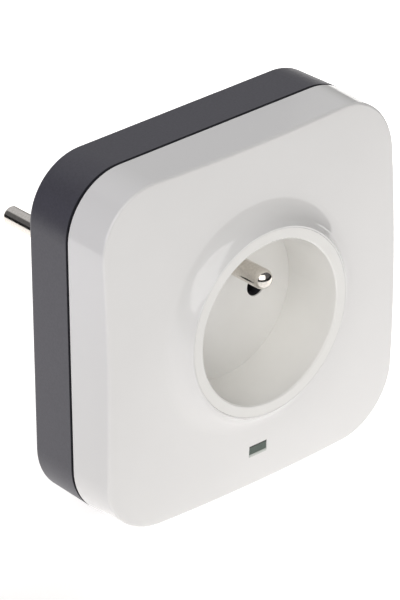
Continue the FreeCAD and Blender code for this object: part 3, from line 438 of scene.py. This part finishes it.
# Indicator lamp: a small dome on two tinned wires, behind the light pipe. Cast in green resin
# that is clouded to spread the light, so it has a soft, even colour.
green_resin, shader = new_material("green_diffused_resin", {"IOR": 1.54, "Roughness": 0.3})
tint(green_resin, shader, "#5F9A62", "#6DA86F", size=1.5 * mm)
tin_wires(green_resin, shader, stand_off=0)
finish_nodes(["indicator_lamp"], green_resin)


# Leads: stranded copper in soft PVC, brown for line, blue for neutral, green for earth.
# Extrusion leaves the insulation faintly uneven, about 2 mm from swell to swell.
for lead, dark_tone, light_tone in (("line_lead", "#59301A", "#633821"),
                                    ("neutral_lead", "#2450A0", "#2C59AA"),
                                    ("earth_lead", "#6F9A26", "#7CA62E")):
    pvc, shader = new_material(lead + "_pvc", {"IOR": 1.53, "Roughness": 0.42})
    tint(pvc, shader, dark_tone, light_tone, size=2 * mm)
    grain(pvc, shader, size=2 * mm, height=0.03 * mm)
    finish_nodes([lead], pvc)


# Screws: pan heads with a cross recess, cold-formed steel, zinc plated and passivated,
# which leaves a faint bluish and yellowish drift over a few millimetres.
zinc, shader = new_material("zinc_plate_passivated", {"Metallic": 1.0, "Roughness": 0.32})
tint(zinc, shader, "#AEB3BA", "#BDB9A9", size=2.5 * mm)
grain(zinc, shader, size=0.4 * mm, height=0.006 * mm)
finish_nodes(["housing_screws", "module_screws", "board_screws", "cap_screws"], zinc)


# Studio table: pale acrylic, lit from below, so that the part throws hardly any shadow.
# Round the part the glow rises from left to right, and a little more from front to back.
part_low, part_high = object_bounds()
part_middle = (part_low + part_high) / 2
table_half_width, table_gap = 4.0, 0.05 * mm
table_mesh = bpy.data.meshes.new("table")
shape = bmesh.new()
bmesh.ops.create_grid(shape, x_segments=1, y_segments=1, size=table_half_width)
shape.to_mesh(table_mesh)
shape.free()
table = bpy.data.objects.new("table", table_mesh)
table.location = (0, 0, part_low.z - table_gap)
bpy.context.scene.collection.objects.link(table)
acrylic, shader = new_material("pale_lit_acrylic",
                               {"Roughness": 0.6, "Base Color": linear("#B4B4B3"),
                                "Emission Color": linear("#FFFDFC")})
on_table = add_node(acrylic, "ShaderNodeSeparateXYZ", {"Vector": place_of(acrylic)}).outputs
right_glow = add_node(acrylic, "ShaderNodeMapRange",
                      {"Value": on_table["X"], "From Min": -0.12, "From Max": 0.17,
                       "To Min": 0.65, "To Max": 1.26})
rear_glow = add_node(acrylic, "ShaderNodeMapRange",
                     {"Value": on_table["Y"], "From Min": -0.06, "From Max": 0.04,
                      "To Max": 0.30})
glow = add_node(acrylic, "ShaderNodeMath",
                {0: right_glow.outputs["Result"], 1: rear_glow.outputs["Result"]},
                operation="ADD")
link(acrylic, glow.outputs[0], shader.inputs["Emission Strength"])
table_mesh.materials.append(acrylic)


# Studio flag: a low strip of black card that stands on the table round the front and the
# left, 0.3 m away. The collar mirrors it as a soft grey crescent, and the skirt as an edge.
# The camera looks over it.
card_mesh = bpy.data.meshes.new("black_card")
shape = bmesh.new()
card_radius, card_top = 0.30, 0.06
card_steps, step_degrees, first_degrees = 128, 2, -261
feet, tops = [], []
for step in range(card_steps + 1):
    bearing = math.radians(first_degrees + step_degrees * step)
    x = card_radius * math.cos(bearing)
    y = part_middle.y + card_radius * math.sin(bearing)
    feet.append(shape.verts.new((x, y, part_low.z)))
    tops.append(shape.verts.new((x, y, card_top)))
for step in range(card_steps):
    shape.faces.new((feet[step], feet[step + 1], tops[step + 1], tops[step]))
shape.to_mesh(card_mesh)
shape.free()
card = bpy.data.objects.new("black_card", card_mesh)
card.visible_camera = False
bpy.context.scene.collection.objects.link(card)
# Black velvet on the card throws back next to nothing, so its mirror image is plain dark.
velvet, shader = new_material("black_velvet_card",
                              {"Roughness": 0.9, "Base Color": linear("#101011")})
card_mesh.materials.append(velvet)


# Studio lights: three soft boxes round the part. Each is set by its bearing and its height,
# and by how wide and tall it looks, all in degrees as seen from the part.
def soft_box(name, bearing, height, wide, tall, radiance):
    """A rectangular lamp 1.6 m away that faces the part, with its radiance in each colour."""
    reach = 1.6
    brightest = max(radiance)
    lamp = bpy.data.lights.new(name, "AREA")
    lamp.shape = "RECTANGLE"
    lamp.size = 2 * reach * math.tan(math.radians(wide / 2))
    lamp.size_y = 2 * reach * math.tan(math.radians(tall / 2))
    lamp.color = [channel / brightest for channel in radiance]
    lamp.energy = brightest * math.pi * lamp.size * lamp.size_y
    stand = bpy.data.objects.new(name, lamp)
    turned = Quaternion((0, 0, 1), math.radians(bearing))
    raised = Quaternion((0, -1, 0), math.radians(height))
    toward_lamp = turned @ raised @ Vector((1, 0, 0))
    stand.location = part_middle + reach * toward_lamp
    stand.rotation_mode = "QUATERNION"
    stand.rotation_quaternion = toward_lamp.to_track_quat("Z", "Y")
    bpy.context.scene.collection.objects.link(stand)


soft_box("key_light", bearing=-127, height=35, wide=66, tall=50, radiance=(1.93, 1.91, 1.87))
soft_box("right_light", bearing=22, height=16, wide=42, tall=36, radiance=(0.30, 0.30, 0.28))
soft_box("left_light", bearing=168, height=16, wide=44, tall=14, radiance=(1.15, 1.15, 1.55))


# Studio tent: dim cloth all round, lit from outside high up behind the part. The cloth at the
# back left stays dark, and the rear pin mirrors it as a dark band.
world = bpy.data.worlds.new("tent")
bpy.context.scene.world = world
world.use_nodes = True
sky = add_node(world, "ShaderNodeTexCoord").outputs["Generated"]
heading = add_node(world, "ShaderNodeSeparateXYZ", {"Vector": sky}).outputs
behind, above, off_left = (
    add_node(world, "ShaderNodeMapRange",
             {"Value": heading[axis], "From Min": dark, "From Max": lit},
             interpolation_type="SMOOTHSTEP").outputs["Result"]
    for axis, dark, lit in (("Y", -0.1, 0.6), ("Z", 0.1, 0.4), ("X", -0.36, -0.2)))
high_behind = add_node(world, "ShaderNodeMath", {0: behind, 1: above},
                       operation="MULTIPLY").outputs[0]
lit_cloth = add_node(world, "ShaderNodeMath", {0: high_behind, 1: off_left},
                     operation="MULTIPLY").outputs[0]
cloth = add_node(world, "ShaderNodeMapRange", {"Value": lit_cloth, "To Min": 0.13, "To Max": 0.60})
background = world.node_tree.nodes["Background"]
background.inputs["Color"].default_value = (0.985, 0.985, 1.01, 1)
link(world, cloth.outputs["Result"], background.inputs["Strength"])


# Camera: the photograph's place and angle, a long lens from the upper left, found by a fit to
# the standard socket. The photograph has plain colours, so no film curve is laid over them.
camera = bpy.data.objects.new("camera", bpy.data.cameras.new("camera"))
bpy.context.scene.collection.objects.link(camera)
camera.data.lens = 296.4
camera.location = (-0.63892, -0.77167, 0.52238)
aim = Vector((-0.000253, -0.036776, -0.003490))
level = (aim - camera.location).to_track_quat("-Z", "Y")
roll_degrees = -0.669
camera.rotation_mode = "QUATERNION"
camera.rotation_quaternion = level @ Quaternion((0, 0, 1), math.radians(roll_degrees))
camera.data.clip_start = 0.05
camera.data.clip_end = 50
bpy.context.scene.camera = camera
bpy.context.scene.view_settings.view_transform = "Standard"
